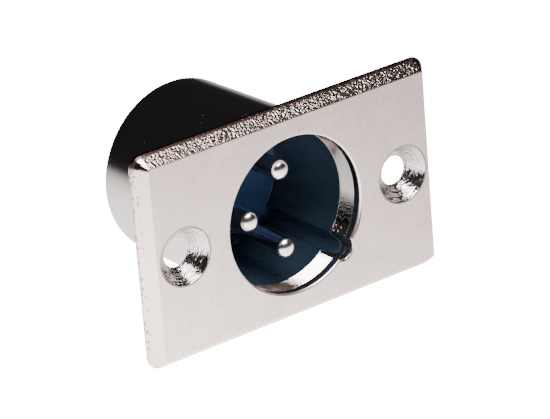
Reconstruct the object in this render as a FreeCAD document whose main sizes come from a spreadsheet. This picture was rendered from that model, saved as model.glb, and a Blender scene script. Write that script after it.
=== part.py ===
import FreeCAD
import Part
import math
import os
import re
import Sketcher

# A three-contact male audio panel connector: a die-cast shell with a bevelled flange, a keyed
# moulded insert pushed in from behind, three turned contacts, an earth tag and a lock screw.
# Millimetres. X runs along the flange, Z is up and +Y points into the panel. The origin is
# the middle of the flange's rear face, on the connector's axis.

# Driving sizes. Angles are in degrees, anticlockwise from +X as seen from the front.
SIZES = {
    # mouth
    "mouth_diameter": 18.4,
    "mouth_depth": 3.7,
    "mouth_rim_radius": 0.3,
    # keyway, and the crescent step that the rim has above it
    "keyway_angle": -44.5,
    "keyway_radius": 1.35,
    "keyway_reach": 0.95,
    "step_angle": -23.5,
    "step_radius": 4.5,
    "step_width": 0.22,
    "step_depth": 0.3,
    "rim_land": 0.2,
    # moulded insert
    "insert_shoulder": 0.2,
    "insert_wall": 0.55,
    "insert_clearance": 0.05,
    "key_wall": 0.2,
    "key_nose": 2.0,
    "cavity_depth": 15.2,
    "floor_thickness": 6.0,
    "floor_chamfer": 0.3,
    "lip_chamfer": 0.2,
    "insert_back_recess": 1.0,
    "insert_back_chamfer": 0.4,
    # barrel, which grows slimmer towards the rear
    "keyway_wall": 0.225,
    "barrel_taper": 0.425,
    "barrel_edge_chamfer": 0.2,
    "barrel_root_chamfer": 0.4,
    # flange, whose border and margin lie round the barrel and the countersinks
    "flange_border": 1.5,
    "flange_thickness": 2.0,
    "flange_land": 0.35,
    "front_corner_radius": 0.23,
    "bevel_inset": 1.27,
    "fixing_pitch": 31.0,
    "fixing_diameter": 3.4,
    "fixing_margin": 0.405,
    "countersink_land": 0.275,
    "countersink_angle": 90.0,
    # contacts
    "contact_margin": 4.09,
    "contact_diameter": 2.4,
    "contact_recess": 1.75,
    "contact_clearance": 0.03,
    "shank_step": 0.2,
    "shank_sink": 0.1,
    "collar_step": 0.2,
    "collar_depth": 1.8,
    "collar_length": 1.2,
    "cup_diameter": 3.0,
    "cup_bore_diameter": 2.1,
    "cup_bore_depth": 4.2,
    "cup_projection": 3.5,
    "cup_scoop_length": 3.2,
    "cup_scoop_offset": 0.35,
    "cup_scoop_slope": 0.8,
    # earth tag
    "tag_width": 3.2,
    "tag_thickness": 0.4,
    "tag_clearance": 0.03,
    "tag_grip_length": 4.6,
    "tag_tail_width": 2.2,
    "tag_tail_length": 5.0,
    "tag_hole_diameter": 1.1,
    "tag_hole_inset": 1.3,
    # lock screw, in the underside of the barrel
    "screw_diameter": 2.5,
    "screw_clearance": 0.04,
    "screw_gap": 1.365,
    "screw_sink": 0.25,
    "screw_from_back": 3.0,
    "screw_slot_width": 0.5,
    "screw_slot_depth": 0.7,
    "screw_edge_chamfer": 0.2,
}

# Relations between the driving sizes, in sheet names. Each may use the ones above it.
RELATIONS = {
    "mouth_r": "(mouth_diameter / 2)",
    "insert_r": "(mouth_r + insert_shoulder)",
    "seat_r": "(insert_r + insert_clearance)",
    "cavity_r": "(insert_r - insert_wall)",
    "rear_r": "(mouth_r + keyway_reach + keyway_wall)",
    "root_r": "(rear_r + barrel_taper)",
    "front_y": "(-flange_thickness)",
    "shoulder_y": "(mouth_depth - flange_thickness)",
    "floor_y": "(cavity_depth - flange_thickness)",
    "back_y": "(floor_y + floor_thickness)",
    "barrel_length": "(back_y + insert_back_recess)",
    "bevel_depth": "(flange_thickness - flange_land)",
    "countersink_r": "(fixing_diameter / 2 + (flange_thickness - countersink_land)"
                     " * tan(countersink_angle / 2))",
    "flange_corner_radius": "(bevel_inset + front_corner_radius)",
    "flange_width": "(fixing_pitch + 2 * (countersink_r + fixing_margin + bevel_inset))",
    "flange_height": "(2 * (root_r + barrel_root_chamfer + flange_border))",
    "keyway_pitch_radius": "(mouth_r + keyway_reach - keyway_radius)",
    "keyway_x": "(keyway_pitch_radius * cos(keyway_angle))",
    "keyway_z": "(keyway_pitch_radius * sin(keyway_angle))",
    "key_r": "(keyway_radius - insert_clearance)",
    "key_front_y": "(shoulder_y - key_nose)",
    "key_nose_r": "(mouth_r + keyway_reach - insert_clearance - key_wall / 2)",
    "rim_r": "(mouth_r + rim_land)",
    "step_pitch_radius": "(rim_r + step_width - step_radius)",
    "step_x": "(step_pitch_radius * cos(step_angle))",
    "step_z": "(step_pitch_radius * sin(step_angle))",
    "contact_pitch_radius": "(cavity_r - contact_margin)",
    "contact_r": "(contact_diameter / 2)",
    "shank_r": "(contact_r + shank_step)",
    "cup_r": "(cup_diameter / 2)",
    "collar_r": "(cup_r + collar_step)",
    "tip_y": "(front_y + contact_recess)",
    "shank_y": "(floor_y + shank_sink)",
    "collar_y": "(floor_y + collar_depth)",
    "collar_back_y": "(collar_y + collar_length)",
    "cup_end_y": "(barrel_length + cup_projection)",
    "tag_outer_r": "(seat_r - tag_clearance)",
    "tag_front_y": "(back_y - tag_grip_length)",
    "tag_end_y": "(back_y + tag_tail_length)",
    "screw_y": "(back_y - screw_from_back)",
    "screw_outer_z": "(-rear_r + screw_sink)",
    "screw_inner_z": "(-contact_pitch_radius - collar_r - screw_gap)",
}

# The contacts stand on one circle, a quarter turn apart, and leave the right side free.
CONTACT_ANGLES = {"contact_top": 90, "contact_left": 180, "contact_bottom": 270}
REACH = 2.0

doc = FreeCAD.newDocument("PanelSocket")


def write_sheet():
    sheet = doc.addObject("Spreadsheet::Sheet", "Sizes")
    for row, (name, value) in enumerate(SIZES.items(), start=1):
        sheet.set(f"A{row}", name)
        sheet.set(f"B{row}", str(value))
        sheet.setAlias(f"B{row}", name)
    doc.recompute()


def formula(text):
    # Relations are written out in full, then every sheet name gets its sheet in front.
    while True:
        names = [name for name in RELATIONS if re.search(rf"\b{name}\b", text)]
        if not names:
            break
        for name in names:
            text = re.sub(rf"\b{name}\b", RELATIONS[name], text)
    for name in SIZES:
        text = re.sub(rf"\b{name}\b", f"Sizes.{name}", text)
    return text


def bind(thing, prop, text):
    thing.setExpression(prop, formula(text))


def new_body(label):
    body = doc.addObject("PartDesign::Body", label)
    body.Label = label
    return body


def plane(body, role):
    return next(item for item in body.Origin.OriginFeatures if item.Role == role)


def new_sketch(body, name, role, offset="0"):
    # The offset runs along the plane's normal: -Y for the XZ plane, +Z for XY, +X for YZ.
    sketch = body.newObject("Sketcher::SketchObject", name)
    sketch.AttachmentSupport = [(plane(body, role), "")]
    sketch.MapMode = "FlatFace"
    if offset != "0":
        bind(sketch, ".AttachmentOffset.Base.z", offset)
    return sketch


def constrain(sketch, text, kind, *where):
    # Adds a sized constraint. Its first value is rough, and the formula then sets it.
    number = sketch.addConstraint(Sketcher.Constraint(kind, *where))
    sketch.setExpression(f"Constraints[{number}]", formula(text))


def place_point(sketch, item, end, x, y):
    point = sketch.getPoint(item, end)
    constrain(sketch, x, "DistanceX", item, end, point.x)
    constrain(sketch, y, "DistanceY", item, end, point.y)


def draw_circle(sketch, x, y, radius):
    circle = Part.Circle(FreeCAD.Vector(1, 1, 0), FreeCAD.Vector(0, 0, 1), 1)
    item = sketch.addGeometry(circle)
    place_point(sketch, item, 3, x, y)
    constrain(sketch, radius, "Radius", item, 1)


def draw_outline(sketch, corners):
    # A closed outline of straight runs through corners given as pairs of formulas. It starts
    # as a regular polygon.
    turns = [2 * math.pi * index / len(corners) for index in range(len(corners))]
    points = [FreeCAD.Vector(10 * math.cos(turn), 10 * math.sin(turn), 0) for turn in turns]
    items = []
    for index, start in enumerate(points):
        end = points[(index + 1) % len(points)]
        items.append(sketch.addGeometry(Part.LineSegment(start, end)))
    for index, item in enumerate(items):
        following = items[(index + 1) % len(items)]
        sketch.addConstraint(Sketcher.Constraint("Coincident", item, 2, following, 1))
    for item, corner in zip(items, corners):
        place_point(sketch, item, 1, *corner)


def draw_rounded_rectangle(sketch, width, height, radius):
    # Four sides and four tangent corner arcs, centred on the sketch's origin. It starts at a
    # rough size.
    half_w = 20
    half_h = 12
    round_r = 2
    axis = FreeCAD.Vector(0, 0, 1)
    turns = ((1, 1, 0), (-1, 1, 90), (-1, -1, 180), (1, -1, 270))
    arcs = []
    for side_x, side_y, start in turns:
        centre = FreeCAD.Vector(side_x * (half_w - round_r), side_y * (half_h - round_r), 0)
        circle = Part.Circle(centre, axis, round_r)
        arc = Part.ArcOfCircle(circle, math.radians(start), math.radians(start + 90))
        arcs.append(sketch.addGeometry(arc))
    sides = []
    for index, arc in enumerate(arcs):
        following = arcs[(index + 1) % len(arcs)]
        start = sketch.getPoint(arc, 2)
        end = sketch.getPoint(following, 1)
        side = sketch.addGeometry(Part.LineSegment(start, end))
        sketch.addConstraint(Sketcher.Constraint("Tangent", arc, 2, side, 1))
        sketch.addConstraint(Sketcher.Constraint("Tangent", side, 2, following, 1))
        sides.append(side)
    for side, kind in zip(sides, ("Horizontal", "Vertical", "Horizontal", "Vertical")):
        sketch.addConstraint(Sketcher.Constraint(kind, side))
    for arc in arcs[1:]:
        sketch.addConstraint(Sketcher.Constraint("Equal", arcs[0], arc))
    constrain(sketch, f"{height} / 2", "DistanceY", sides[0], 1, half_h)
    constrain(sketch, f"-{width} / 2", "DistanceX", sides[1], 1, -half_w)
    constrain(sketch, f"-{height} / 2", "DistanceY", sides[2], 1, -half_h)
    constrain(sketch, f"{width} / 2", "DistanceX", sides[3], 1, half_w)
    constrain(sketch, radius, "Radius", arcs[0], round_r)


def draw_crescent(sketch, inner, x, y, outer):
    # The space between a circle about the origin and a smaller one, centred at x and y, that
    # reaches past it. It starts with both arcs near the corner that x and y point to.
    axis = FreeCAD.Vector(0, 0, 1)
    turn = math.radians(SIZES["step_angle"])
    middle = FreeCAD.Vector(5 * math.cos(turn), 5 * math.sin(turn), 0)
    ends = []
    for side in (-1, 1):
        angle = turn + side * math.radians(14)
        ends.append(FreeCAD.Vector(9 * math.cos(angle), 9 * math.sin(angle), 0))
    near = Part.ArcOfCircle(Part.Circle(FreeCAD.Vector(0, 0, 0), axis, 9),
                            turn - math.radians(14), turn + math.radians(14))
    spread = middle.sub(ends[0]).Length
    low = math.atan2(ends[0].y - middle.y, ends[0].x - middle.x)
    high = math.atan2(ends[1].y - middle.y, ends[1].x - middle.x)
    far = Part.ArcOfCircle(Part.Circle(middle, axis, spread), low, high)
    inner_arc = sketch.addGeometry(near)
    outer_arc = sketch.addGeometry(far)
    sketch.addConstraint(Sketcher.Constraint("Coincident", inner_arc, 3, -1, 1))
    sketch.addConstraint(Sketcher.Constraint("Coincident", inner_arc, 1, outer_arc, 1))
    sketch.addConstraint(Sketcher.Constraint("Coincident", inner_arc, 2, outer_arc, 2))
    constrain(sketch, inner, "Radius", inner_arc, 9)
    constrain(sketch, outer, "Radius", outer_arc, spread)
    place_point(sketch, outer_arc, 3, x, y)


def draw_ring_sector(sketch, outer, inner, width):
    # A piece of ring across +X, cut off square at half the width above and below. It starts
    # as a quarter of a ring.
    axis = FreeCAD.Vector(0, 0, 1)
    arcs = []
    for radius, rough in ((outer, 10), (inner, 9)):
        circle = Part.Circle(FreeCAD.Vector(0, 0, 0), axis, rough)
        arc = sketch.addGeometry(Part.ArcOfCircle(circle, -math.pi / 8, math.pi / 8))
        sketch.addConstraint(Sketcher.Constraint("Coincident", arc, 3, -1, 1))
        constrain(sketch, radius, "Radius", arc, rough)
        constrain(sketch, f"-{width} / 2", "DistanceY", arc, 1, sketch.getPoint(arc, 1).y)
        constrain(sketch, f"{width} / 2", "DistanceY", arc, 2, sketch.getPoint(arc, 2).y)
        arcs.append(arc)
    for end in (1, 2):
        start = sketch.getPoint(arcs[0], end)
        side = sketch.addGeometry(Part.LineSegment(start, sketch.getPoint(arcs[1], end)))
        sketch.addConstraint(Sketcher.Constraint("Coincident", side, 1, arcs[0], end))
        sketch.addConstraint(Sketcher.Constraint("Coincident", side, 2, arcs[1], end))


def settle(feature, body, grows):
    # Recomputes, and makes sure that the feature added or took away material.
    base = feature.BaseFeature
    doc.recompute()
    if "Invalid" in feature.State or "Error" in feature.State:
        raise RuntimeError(f"{body.Label}: {feature.Name} failed")
    before = base.Shape.Volume if base else 0.0
    change = feature.Shape.Volume - before
    if change == 0 or (change > 0) != grows:
        raise RuntimeError(f"{body.Label}: {feature.Name} changed the volume by {change:.3f}")
    return feature


def pad(body, sketch, length, reverse=False):
    feature = body.newObject("PartDesign::Pad", f"{sketch.Name}Pad")
    feature.Profile = sketch
    feature.Reversed = reverse
    bind(feature, "Length", length)
    return settle(feature, body, True)


def pocket(body, sketch, length=None, reverse=False, both_ways=False):
    # With no length the pocket goes right through.
    feature = body.newObject("PartDesign::Pocket", f"{sketch.Name}Pocket")
    feature.Profile = sketch
    feature.Reversed = reverse
    feature.Midplane = both_ways
    if length is None:
        feature.Type = "ThroughAll"
    else:
        bind(feature, "Length", length)
    return settle(feature, body, False)


def revolve(body, sketch):
    feature = body.newObject("PartDesign::Revolution", f"{sketch.Name}Turned")
    feature.Profile = sketch
    feature.ReferenceAxis = (sketch, ["V_Axis"])
    return settle(feature, body, True)


def bore_out(body, sketch):
    feature = body.newObject("PartDesign::Groove", f"{sketch.Name}Bored")
    feature.Profile = sketch
    feature.ReferenceAxis = (sketch, ["V_Axis"])
    return settle(feature, body, False)


def edge_of_corner(feature, sketch, corner):
    # The name of the circle that one corner of a turned outline leaves on the feature.
    point = sketch.getPoint(corner, 1)
    for number, edge in enumerate(feature.Shape.Edges, start=1):
        curve = edge.Curve
        if not isinstance(curve, Part.Circle):
            continue
        centre = FreeCAD.Vector(0, point.y, 0)
        if abs(curve.Radius - point.x) < 1e-5 and curve.Center.distanceToPoint(centre) < 1e-5:
            return f"Edge{number}"
    raise RuntimeError(f"{feature.Name}: no edge at corner {corner} of {sketch.Name}")


def fillet(body, base, names, radius):
    feature = body.newObject("PartDesign::Fillet", f"{base.Name}Round")
    feature.Base = (base, names)
    bind(feature, "Radius", radius)
    return settle(feature, body, False)


def chamfer(body, base, names, size, grows=False):
    feature = body.newObject("PartDesign::Chamfer", f"{base.Name}Edge")
    feature.Base = (base, names)
    bind(feature, "Size", size)
    return settle(feature, body, grows)


def make_shell():
    body = new_body("shell")

    outline = new_sketch(body, "FlangeOutline", "XZ_Plane")
    draw_rounded_rectangle(outline, "flange_width", "flange_height", "flange_corner_radius")
    flange = pad(body, outline, "flange_thickness")

    # The whole edge slopes back from the front face to a narrow square land.
    front = -SIZES["flange_thickness"]
    faces = enumerate(flange.Shape.Faces, start=1)
    front_face = [f"Face{n}" for n, face in faces if abs(face.CenterOfMass.y - front) < 1e-6]
    bevel = body.newObject("PartDesign::Chamfer", "FlangeBevel")
    bevel.Base = (flange, front_face)
    bevel.ChamferType = "Two distances"
    bind(bevel, "Size", "bevel_depth")
    bind(bevel, "Size2", "bevel_inset")
    settle(bevel, body, False)

    barrel = new_sketch(body, "Barrel", "XY_Plane")
    draw_outline(barrel, [("0", "-flange_land"), ("root_r", "-flange_land"), ("root_r", "0"),
                          ("rear_r", "barrel_length"), ("0", "barrel_length")])
    turned = revolve(body, barrel)
    rear_edge = edge_of_corner(turned, barrel, 3)
    turned = chamfer(body, turned, [rear_edge], "barrel_edge_chamfer")
    root = edge_of_corner(turned, barrel, 2)
    chamfer(body, turned, [root], "barrel_root_chamfer", True)

    # The mouth is narrower than the seat, which leaves a shoulder for the insert.
    bore = new_sketch(body, "Bore", "XY_Plane")
    draw_outline(bore, [("0", "front_y"), ("mouth_r", "front_y"),
                        ("mouth_r", "shoulder_y"), ("seat_r", "shoulder_y"),
                        ("seat_r", f"barrel_length + {REACH}"),
                        ("0", f"barrel_length + {REACH}")])
    bored = bore_out(body, bore)
    rim = edge_of_corner(bored, bore, 1)
    fillet(body, bored, [rim], "mouth_rim_radius")

    step = new_sketch(body, "RimStep", "XZ_Plane", "flange_thickness")
    draw_crescent(step, "rim_r", "step_x", "step_z", "step_radius")
    pocket(body, step, "step_depth")

    keyway = new_sketch(body, "Keyway", "XZ_Plane", "flange_thickness")
    draw_circle(keyway, "keyway_x", "keyway_z", "keyway_radius")
    pocket(body, keyway)

    fixings = new_sketch(body, "Fixings", "XZ_Plane", "flange_thickness")
    draw_circle(fixings, "fixing_pitch / 2", "0", "fixing_diameter / 2")
    draw_circle(fixings, "-fixing_pitch / 2", "0", "fixing_diameter / 2")
    doc.recompute()
    hole = body.newObject("PartDesign::Hole", "FixingHoles")
    hole.Profile = fixings
    hole.DepthType = "ThroughAll"
    hole.HoleCutType = "Countersink"
    hole.HoleCutCustomValues = True
    bind(hole, "Diameter", "fixing_diameter")
    bind(hole, "HoleCutDiameter", "2 * countersink_r")
    bind(hole, "HoleCutCountersinkAngle", "countersink_angle")
    settle(hole, body, False)

    screw_hole = new_sketch(body, "LockScrewHole", "XY_Plane", "screw_inner_z")
    draw_circle(screw_hole, "0", "screw_y", "screw_diameter / 2 + screw_clearance")
    pocket(body, screw_hole)
    return body


def make_insert():
    body = new_body("insert")

    blank = new_sketch(body, "Blank", "XY_Plane")
    draw_outline(blank, [("0", "shoulder_y"), ("insert_r", "shoulder_y"), ("insert_r", "back_y"),
                         ("0", "back_y")])
    turned = revolve(body, blank)
    back = edge_of_corner(turned, blank, 2)
    chamfer(body, turned, [back], "insert_back_chamfer")

    # A rib lies in the shell's keyway and stops the insert from turning. It is hollow down to
    # the floor, to carry the keyway on, and its nose slopes back into the mouth.
    rib = new_sketch(body, "KeyRib", "XZ_Plane", "-key_front_y")
    draw_circle(rib, "keyway_x", "keyway_z", "key_r")
    pad(body, rib, "back_y - key_front_y", reverse=True)
    cavity = new_sketch(body, "Cavity", "XY_Plane")
    draw_outline(cavity, [("0", f"key_front_y - {REACH}"), ("key_nose_r", f"key_front_y - {REACH}"),
                          ("key_nose_r", "key_front_y"),
                          ("mouth_r + insert_clearance", "shoulder_y"),
                          ("cavity_r + lip_chamfer", "shoulder_y"),
                          ("cavity_r", "shoulder_y + lip_chamfer"),
                          ("cavity_r", "floor_y - floor_chamfer"),
                          ("cavity_r - floor_chamfer", "floor_y"), ("0", "floor_y")])
    bore_out(body, cavity)
    channel = new_sketch(body, "KeyChannel", "XZ_Plane", "-key_front_y")
    draw_circle(channel, "keyway_x", "keyway_z", "key_r - key_wall")
    pocket(body, channel, "floor_y - key_front_y")

    # Each contact's stepped hole: a bore for its shank and a wider seat for its collar.
    steps = (("ShankBore", "shank_r + contact_clearance", "floor_y"),
             ("CollarBore", "collar_r + contact_clearance", "collar_y"))
    for name, radius, start in steps:
        hole = new_sketch(body, name, "XZ_Plane", f"-{start}")
        draw_circle(hole, "0", "contact_pitch_radius", radius)
        first = pocket(body, hole)
        ring = body.newObject("PartDesign::PolarPattern", f"{name}Ring")
        ring.Originals = [first]
        ring.Axis = (plane(body, "Y_Axis"), [""])
        ring.Angle = 180
        ring.Reversed = True
        ring.Occurrences = len(CONTACT_ANGLES)
        body.Tip = ring
        doc.recompute()

    groove = new_sketch(body, "TagSlot", "XZ_Plane", "tag_clearance - tag_front_y")
    draw_ring_sector(groove, "seat_r + tag_thickness",
                     "tag_outer_r - tag_thickness - tag_clearance",
                     "(tag_width + 2 * tag_clearance)")
    pocket(body, groove)

    screw_hole = new_sketch(body, "LockScrewHole", "XY_Plane", "screw_inner_z + screw_clearance")
    draw_circle(screw_hole, "0", "screw_y", "screw_diameter / 2 + screw_clearance")
    pocket(body, screw_hole)
    return body


def make_contact(label, angle):
    # Turned about its own Y axis, then set on the contact circle with its cup open outwards.
    body = new_body(label)
    stem = new_sketch(body, "Stem", "XY_Plane")
    draw_outline(stem, [("0", "tip_y + contact_r"), ("contact_r", "tip_y + contact_r"),
                        ("contact_r", "shank_y"), ("shank_r", "shank_y"),
                        ("shank_r", "collar_y"), ("collar_r", "collar_y"),
                        ("collar_r", "collar_back_y"), ("cup_r", "collar_back_y"),
                        ("cup_r", "cup_end_y"), ("0", "cup_end_y")])
    revolve(body, stem)

    tip = new_sketch(body, "Tip", "XY_Plane")
    centre = FreeCAD.Vector(0, 0, 0)
    circle = Part.Circle(centre, FreeCAD.Vector(0, 0, 1), 1)
    arc = tip.addGeometry(Part.ArcOfCircle(circle, -math.pi / 2, 0))
    across = tip.addGeometry(Part.LineSegment(tip.getPoint(arc, 2), centre))
    along = tip.addGeometry(Part.LineSegment(centre, tip.getPoint(arc, 1)))
    tip.addConstraint(Sketcher.Constraint("Coincident", arc, 2, across, 1))
    tip.addConstraint(Sketcher.Constraint("Coincident", across, 2, along, 1))
    tip.addConstraint(Sketcher.Constraint("Coincident", along, 2, arc, 1))
    tip.addConstraint(Sketcher.Constraint("Coincident", arc, 3, across, 2))
    tip.addConstraint(Sketcher.Constraint("Horizontal", across))
    tip.addConstraint(Sketcher.Constraint("Vertical", along))
    place_point(tip, across, 2, "0", "tip_y + contact_r")
    constrain(tip, "contact_r", "Radius", arc, 1)
    revolve(body, tip)

    cup = new_sketch(body, "CupBore", "XZ_Plane", "-cup_end_y")
    draw_circle(cup, "0", "0", "cup_bore_diameter / 2")
    pocket(body, cup, "cup_bore_depth", reverse=True)

    scoop = new_sketch(body, "Scoop", "XY_Plane")
    draw_outline(scoop, [("cup_scoop_offset", f"cup_end_y + {REACH}"),
                         ("cup_scoop_offset", "cup_end_y - cup_scoop_length + cup_scoop_slope"),
                         ("cup_r + cup_scoop_offset", "cup_end_y - cup_scoop_length"),
                         ("cup_r + cup_scoop_offset", f"cup_end_y + {REACH}")])
    pocket(body, scoop, "2 * cup_diameter", both_ways=True)

    body.Placement = FreeCAD.Placement(FreeCAD.Vector(0, 0, 0),
                                       FreeCAD.Rotation(FreeCAD.Vector(0, 1, 0), -angle))
    bind(body, ".Placement.Base.x", f"contact_pitch_radius * cos({angle})")
    bind(body, ".Placement.Base.z", f"contact_pitch_radius * sin({angle})")
    doc.recompute()
    return body


def make_earth_tag():
    # A strip that lies between the insert and the shell, with a solder eye behind them.
    body = new_body("earth_tag")
    grip = new_sketch(body, "Grip", "XZ_Plane", "-tag_front_y")
    draw_ring_sector(grip, "tag_outer_r", "tag_outer_r - tag_thickness", "tag_width")
    pad(body, grip, "tag_grip_length", reverse=True)
    tail = new_sketch(body, "Tail", "XZ_Plane", "-back_y")
    draw_ring_sector(tail, "tag_outer_r", "tag_outer_r - tag_thickness", "tag_tail_width")
    pad(body, tail, "tag_tail_length", reverse=True)
    eye = new_sketch(body, "Eye", "YZ_Plane")
    draw_circle(eye, "tag_end_y - tag_hole_inset", "0", "tag_hole_diameter / 2")
    pocket(body, eye, reverse=True)
    return body


def make_lock_screw():
    # A headless slotted screw in the insert. Its outer end stands in the hole of the barrel.
    body = new_body("lock_screw")
    shank = new_sketch(body, "Shank", "XY_Plane", "screw_inner_z")
    draw_circle(shank, "0", "screw_y", "screw_diameter / 2")
    blank = pad(body, shank, "screw_inner_z - screw_outer_z", reverse=True)
    ends = []
    for number, edge in enumerate(blank.Shape.Edges, start=1):
        if isinstance(edge.Curve, Part.Circle):
            ends.append(f"Edge{number}")
    chamfer(body, blank, ends, "screw_edge_chamfer")
    slot = new_sketch(body, "Slot", "XY_Plane", "screw_outer_z + screw_slot_depth")
    half = "screw_slot_width / 2"
    draw_outline(slot, [("-screw_diameter", f"screw_y - {half}"),
                        ("screw_diameter", f"screw_y - {half}"),
                        ("screw_diameter", f"screw_y + {half}"),
                        ("-screw_diameter", f"screw_y + {half}")])
    pocket(body, slot)
    return body


def write_parts(bodies):
    doc.recompute()
    for item in doc.Objects:
        if "Invalid" in item.State or "Error" in item.State:
            raise RuntimeError(f"{item.Label} did not recompute: {item.State}")
    for body in bodies:
        if body.Shape.isNull() or not body.Shape.isValid() or len(body.Shape.Solids) != 1:
            raise RuntimeError(f"{body.Label} is not one valid solid")
    os.makedirs("parts", exist_ok=True)
    for body in bodies:
        body.Shape.exportStep(f"parts/{body.Label}.step")
        print(f"{body.Label}: {body.Shape.Volume:.2f} mm3")


write_sheet()
bodies = [make_shell(), make_insert()]
for contact_label, contact_angle in CONTACT_ANGLES.items():
    bodies.append(make_contact(contact_label, contact_angle))
bodies += [make_earth_tag(), make_lock_screw()]
write_parts(bodies)
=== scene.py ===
import math

import bmesh
import bpy
from mathutils import Matrix, Vector


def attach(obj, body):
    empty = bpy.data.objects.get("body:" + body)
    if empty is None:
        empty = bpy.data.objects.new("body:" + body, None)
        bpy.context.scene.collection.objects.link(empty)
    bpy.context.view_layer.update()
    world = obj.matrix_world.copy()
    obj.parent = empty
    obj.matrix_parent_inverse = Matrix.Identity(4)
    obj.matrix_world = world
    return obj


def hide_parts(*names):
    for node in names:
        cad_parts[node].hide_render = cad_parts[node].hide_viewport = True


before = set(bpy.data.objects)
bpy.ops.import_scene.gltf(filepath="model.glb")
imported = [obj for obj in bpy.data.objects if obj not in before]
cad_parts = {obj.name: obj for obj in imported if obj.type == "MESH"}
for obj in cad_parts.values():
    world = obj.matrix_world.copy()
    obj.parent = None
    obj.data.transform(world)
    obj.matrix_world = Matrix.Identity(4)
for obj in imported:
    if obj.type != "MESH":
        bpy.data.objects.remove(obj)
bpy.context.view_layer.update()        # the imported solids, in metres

mm = 0.001
joinWithin = 2e-4        # mm, points closer than this become one
sliverUnder = 1e-5       # mm, shorter edges are taken out

# Camera. It stands where the photograph was taken from.

cameraSetup = {
    "place": (-239.49, -323.04, 169.96),      # mm, in the part's frame
    "right": (0.78326, -0.61704, -0.07590),
    "up": (0.29629, 0.26317, 0.91813),
    "back": (-0.54655, -0.74162, 0.38895),
    "lens": 255.52,
    "sensor": 36.0,
}


def setCamera(setup):
    data = bpy.data.cameras.new("photoCamera")
    data.sensor_fit = "HORIZONTAL"
    data.sensor_width = setup["sensor"]
    data.lens = setup["lens"]
    data.clip_start = 0.01
    data.clip_end = 20
    camera = bpy.data.objects.new("photoCamera", data)
    turn = Matrix((setup["right"], setup["up"], setup["back"])).transposed().to_4x4()
    camera.matrix_world = Matrix.Translation(Vector(setup["place"]) * mm) @ turn
    bpy.context.collection.objects.link(camera)
    bpy.context.scene.camera = camera
    print("camera set")


setCamera(cameraSetup)


# Helpers for shapes. All lengths are in mm until a mesh is finished.

def softLine(points, steps=3):
    # each point is across, along and how far its corner is rounded
    line = []
    last = len(points) - 1
    for index, (across, along, size) in enumerate(points):
        here = Vector((across, along))
        if size == 0 or index in (0, last):
            line.append((across, along))
            continue
        before = Vector(points[index - 1][:2])
        after = Vector(points[index + 1][:2])
        start = here + (before - here).normalized() * size
        end = here + (after - here).normalized() * size
        for step in range(steps + 1):
            part = step / steps
            line.append(tuple(start.lerp(here, part).lerp(here.lerp(end, part), part)))
    return line


def circleReach(pitch, radius, degrees):
    # how far out a circle on the pitch reaches, seen at an angle from its middle
    turn = math.radians(degrees)
    inside = radius ** 2 - (pitch * math.sin(turn)) ** 2
    if inside <= 0 or math.cos(turn) <= 0:
        return 0.0
    return pitch * math.cos(turn) + math.sqrt(inside)


def offsetFrom(degrees, middle):
    return (degrees - middle + 180) % 360 - 180


def roundAngles(coarse, fine, fineFrom, fineTo):
    angles = []
    angle = -180.0
    while angle < 180 - 1e-6:
        angles.append(angle)
        angle += fine if fineFrom <= angle < fineTo else coarse
    return angles


def polar(radius, degrees, along):
    turn = math.radians(degrees)
    return (radius * math.cos(turn), along, radius * math.sin(turn))


def addStrips(bm, rings):
    # closed rings of points with the same count, joined one to the next
    rows = [[bm.verts.new(point) for point in ring] for ring in rings]
    for first, second in zip(rows, rows[1:]):
        count = len(first)
        for index in range(count):
            after = (index + 1) % count
            bm.faces.new([first[index], first[after], second[after], second[index]])
    return rows


def fillBetween(bm, loops, normal):
    # a flat face with holes, between loops of points
    edges = []
    for loop in loops:
        corners = [bm.verts.new(point) for point in loop]
        for index in range(len(corners)):
            edges.append(bm.edges.new((corners[index - 1], corners[index])))
    bmesh.ops.triangle_fill(bm, use_beauty=True, use_dissolve=False, edges=edges, normal=normal)


def evenAngles(count):
    return [index * 360.0 / count for index in range(count)]


def turnedRings(line, angles, centre=(0, 0)):
    # a line of radius and depth turned round an axis along Y
    rings = []
    for radius, along in line:
        ring = [polar(radius, angle, along) for angle in angles]
        rings.append([(x + centre[0], y, z + centre[1]) for x, y, z in ring])
    return rings


def columnRings(columns, angles):
    # columns of radius and depth, one for each angle, read row by row as rings
    rings = []
    for row in range(len(columns[0])):
        rings.append([polar(column[row][0], angle, column[row][1]) for column, angle in zip(columns, angles)])
    return rings


def uprightRing(radius, depth, height):
    # a circle round an upright axis that stands at a depth along Y
    turns = [math.radians(angle) for angle in range(0, 360, 10)]
    return [(radius * math.cos(turn), depth + radius * math.sin(turn), height) for turn in turns]


def finishMesh(bm, name):
    bmesh.ops.remove_doubles(bm, verts=bm.verts, dist=joinWithin)
    bmesh.ops.dissolve_degenerate(bm, edges=bm.edges, dist=sliverUnder)
    bmesh.ops.recalc_face_normals(bm, faces=bm.faces)
    bmesh.ops.scale(bm, vec=(mm, mm, mm), verts=bm.verts)
    mesh = bpy.data.meshes.new(name)
    bm.to_mesh(mesh)
    bm.free()
    piece = bpy.data.objects.new(name, mesh)
    bpy.context.collection.objects.link(piece)
    return piece


def makeCutter(rings, name):
    # a solid between two rings, each closed by one face
    bm = bmesh.new()
    for row in addStrips(bm, rings):
        bm.faces.new(row)
    return finishMesh(bm, name)


def settle(piece):
    # turns the piece's modifiers into plain mesh
    bpy.context.view_layer.update()
    graph = bpy.context.evaluated_depsgraph_get()
    plain = bpy.data.meshes.new_from_object(piece.evaluated_get(graph), depsgraph=graph)
    piece.modifiers.clear()
    piece.data = plain
    return piece


def cutAway(piece, cutter):
    cut = piece.modifiers.new("cut", "BOOLEAN")
    cut.operation = "DIFFERENCE"
    cut.solver = "EXACT"
    cut.object = cutter
    settle(piece)
    bpy.data.objects.remove(cutter, do_unlink=True)


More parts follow.
